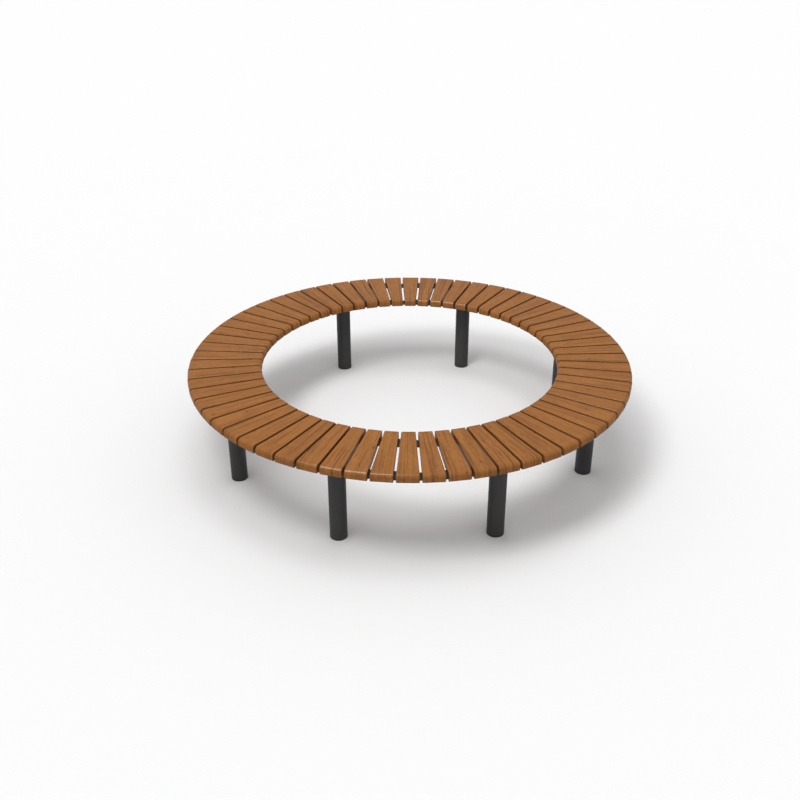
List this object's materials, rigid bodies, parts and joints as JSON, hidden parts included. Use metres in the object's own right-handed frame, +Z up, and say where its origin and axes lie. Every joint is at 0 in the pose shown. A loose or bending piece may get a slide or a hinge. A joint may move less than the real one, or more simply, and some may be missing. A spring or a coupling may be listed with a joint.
{
  "type": "tree bench",
  "caption": "Round backless bench that encircles a tree: radial tapered wooden slats let over two flat ring bars on round steel legs.",
  "frame": {"origin": "centre of the ring, on the ground under it", "axes": "+Z up along the ring's axis; the four quarters of the frame meet on the X and Y axes"},
  "size_m": [2.1018, 2.1018, 0.455],
  "materials": {
    "slat_wood": "oiled hardwood, satin",
    "frame_steel": "fine powder coat, dark grey, matt",
    "foot_plastic": "moulded black polyamide",
    "screw_steel": "stainless steel, dull"
  },
  "bodies": {
    "root": {"seat_slats_1": "slat_wood", "seat_slats_2": "slat_wood", "seat_slats_3": "slat_wood", "seat_slats_4": "slat_wood", "seat_slats_5": "slat_wood", "seat_slats_6": "slat_wood", "seat_slats_7": "slat_wood", "seat_slats_8": "slat_wood", "seat_slats_9": "slat_wood", "seat_slats_10": "slat_wood", "seat_slats_11": "slat_wood", "seat_slats_12": "slat_wood", "seat_slats_13": "slat_wood", "seat_slats_14": "slat_wood", "seat_slats_15": "slat_wood", "seat_slats_16": "slat_wood", "outer_bar_1": "frame_steel", "outer_bar_2": "frame_steel", "outer_bar_3": "frame_steel", "outer_bar_4": "frame_steel", "inner_bar_1": "frame_steel", "inner_bar_2": "frame_steel", "inner_bar_3": "frame_steel", "inner_bar_4": "frame_steel", "bearer_1": "frame_steel", "bearer_2": "frame_steel", "bearer_3": "frame_steel", "bearer_4": "frame_steel", "bearer_5": "frame_steel", "bearer_6": "frame_steel", "bearer_7": "frame_steel", "bearer_8": "frame_steel", "leg_1": "frame_steel", "leg_2": "frame_steel", "leg_3": "frame_steel", "leg_4": "frame_steel", "leg_5": "frame_steel", "leg_6": "frame_steel", "leg_7": "frame_steel", "leg_8": "frame_steel", "foot_1": "foot_plastic", "foot_2": "foot_plastic", "foot_3": "foot_plastic", "foot_4": "foot_plastic", "foot_5": "foot_plastic", "foot_6": "foot_plastic", "foot_7": "foot_plastic", "foot_8": "foot_plastic", "slat_screws_1": "screw_steel", "slat_screws_2": "screw_steel", "slat_screws_3": "screw_steel", "slat_screws_4": "screw_steel", "lap_screws_1": "screw_steel", "lap_screws_2": "screw_steel", "lap_screws_3": "screw_steel", "lap_screws_4": "screw_steel", "leg_bolts_1": "screw_steel", "leg_bolts_2": "screw_steel", "leg_bolts_3": "screw_steel", "leg_bolts_4": "screw_steel"}
  },
  "joints": []
}
